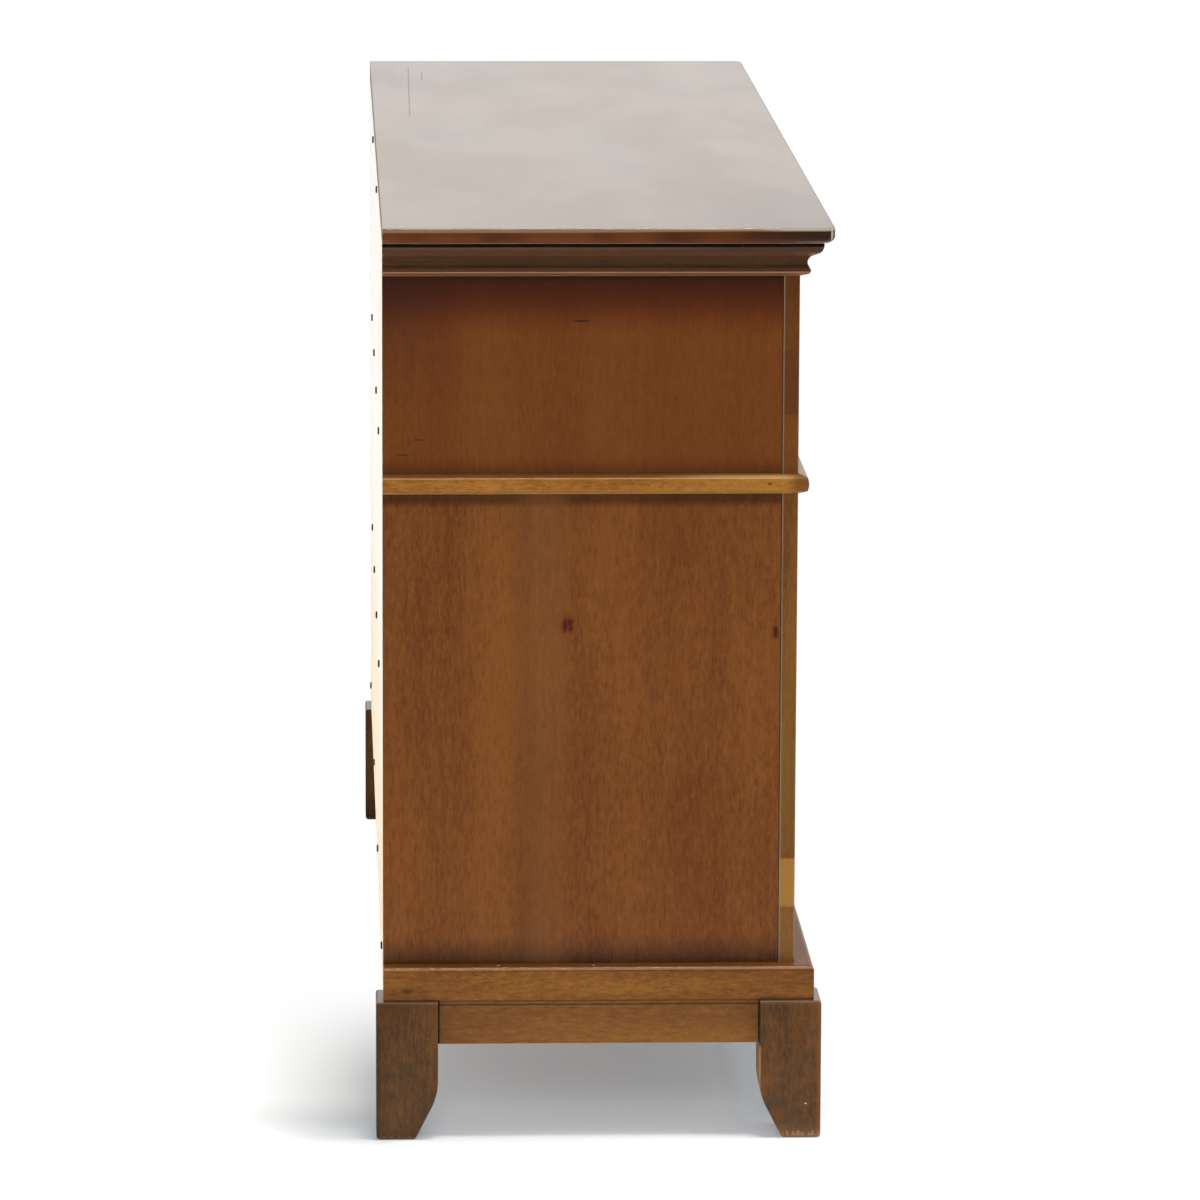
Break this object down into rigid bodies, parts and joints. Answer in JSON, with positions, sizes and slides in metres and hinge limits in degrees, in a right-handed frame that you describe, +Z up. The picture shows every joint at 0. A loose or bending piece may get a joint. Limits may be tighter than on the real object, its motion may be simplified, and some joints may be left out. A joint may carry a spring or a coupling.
{
  "type": "dresser",
  "caption": "Long wooden dresser with crown, belt and base mouldings, tapered bracket feet and inset drawers that slide out on centre guides.",
  "frame": {"origin": "on the floor, at the middle of the dresser's outer box", "axes": "+X along the length to the dresser's right as seen in the side view with its front to -Y, -Y out of the drawer fronts, +Z up"},
  "size_m": [1.636, 0.4644, 0.9454],
  "materials": {
    "top_wood": "glossy dark brown lacquer",
    "shadow_strip": "very dark stain",
    "crown_wood": "dark brown stain, satin",
    "side_veneer": "reddish brown veneer, satin",
    "frame_wood": "golden brown, satin",
    "foot_wood": "dark brown stain, satin",
    "drawer_front_wood": "reddish brown veneer, satin",
    "drawer_side_wood": "pale bare wood",
    "drawer_bottom_board": "pale plywood",
    "inner_wood": "bare sawn wood",
    "back_board": "pale board, matt",
    "knob_bronze": "dark bronze, satin",
    "screw_steel": "dark zinc"
  },
  "bodies": {
    "case": {"top_panel": "top_wood", "top_lift_frame": "shadow_strip", "crown_moulding_front": "crown_wood", "crown_moulding_left": "crown_wood", "crown_moulding_right": "crown_wood", "left_side_panel": "side_veneer", "right_side_panel": "side_veneer", "left_stile": "frame_wood", "right_stile": "frame_wood", "top_rail": "frame_wood", "belt_rail": "frame_wood", "middle_rail": "frame_wood", "bottom_rail": "frame_wood", "drawer_dividers": "frame_wood", "belt_moulding_front": "frame_wood", "belt_moulding_left": "frame_wood", "belt_moulding_right": "frame_wood", "base_moulding_front": "frame_wood", "base_moulding_left": "frame_wood", "base_moulding_right": "frame_wood", "front_apron": "frame_wood", "left_apron": "frame_wood", "right_apron": "frame_wood", "front_left_foot": "foot_wood", "front_right_foot": "foot_wood", "rear_left_foot": "foot_wood", "rear_right_foot": "foot_wood", "glue_blocks": "inner_wood", "back_panel": "back_board", "back_rails": "inner_wood", "back_screws": "screw_steel", "drawer_guides": "inner_wood"},
    "top_left_drawer": {"top_left_drawer_front": "drawer_front_wood", "top_left_drawer_box": "drawer_side_wood", "top_left_drawer_bottom": "drawer_bottom_board", "top_left_drawer_knobs": "knob_bronze"},
    "top_middle_drawer": {"top_middle_drawer_front": "drawer_front_wood", "top_middle_drawer_box": "drawer_side_wood", "top_middle_drawer_bottom": "drawer_bottom_board", "top_middle_drawer_knobs": "knob_bronze"},
    "top_right_drawer": {"top_right_drawer_front": "drawer_front_wood", "top_right_drawer_box": "drawer_side_wood", "top_right_drawer_bottom": "drawer_bottom_board", "top_right_drawer_knobs": "knob_bronze"},
    "upper_left_drawer": {"upper_left_drawer_front": "drawer_front_wood", "upper_left_drawer_box": "drawer_side_wood", "upper_left_drawer_bottom": "drawer_bottom_board", "upper_left_drawer_knobs": "knob_bronze"},
    "upper_right_drawer": {"upper_right_drawer_front": "drawer_front_wood", "upper_right_drawer_box": "drawer_side_wood", "upper_right_drawer_bottom": "drawer_bottom_board", "upper_right_drawer_knobs": "knob_bronze"},
    "lower_left_drawer": {"lower_left_drawer_front": "drawer_front_wood", "lower_left_drawer_box": "drawer_side_wood", "lower_left_drawer_bottom": "drawer_bottom_board", "lower_left_drawer_knobs": "knob_bronze"},
    "lower_right_drawer": {"lower_right_drawer_front": "drawer_front_wood", "lower_right_drawer_box": "drawer_side_wood", "lower_right_drawer_bottom": "drawer_bottom_board", "lower_right_drawer_knobs": "knob_bronze"}
  },
  "joints": [
    {"name": "top_left_drawer_slide", "type": "slide", "parent": "case", "child": "top_left_drawer", "axis": [0, -1, 0], "range_m": [0, 0.323]},
    {"name": "top_middle_drawer_slide", "type": "slide", "parent": "case", "child": "top_middle_drawer", "axis": [0, -1, 0], "range_m": [0, 0.323]},
    {"name": "top_right_drawer_slide", "type": "slide", "parent": "case", "child": "top_right_drawer", "axis": [0, -1, 0], "range_m": [0, 0.323]},
    {"name": "upper_left_drawer_slide", "type": "slide", "parent": "case", "child": "upper_left_drawer", "axis": [0, -1, 0], "range_m": [0, 0.323]},
    {"name": "upper_right_drawer_slide", "type": "slide", "parent": "case", "child": "upper_right_drawer", "axis": [0, -1, 0], "range_m": [0, 0.323]},
    {"name": "lower_left_drawer_slide", "type": "slide", "parent": "case", "child": "lower_left_drawer", "axis": [0, -1, 0], "range_m": [0, 0.323]},
    {"name": "lower_right_drawer_slide", "type": "slide", "parent": "case", "child": "lower_right_drawer", "axis": [0, -1, 0], "range_m": [0, 0.323]}
  ]
}
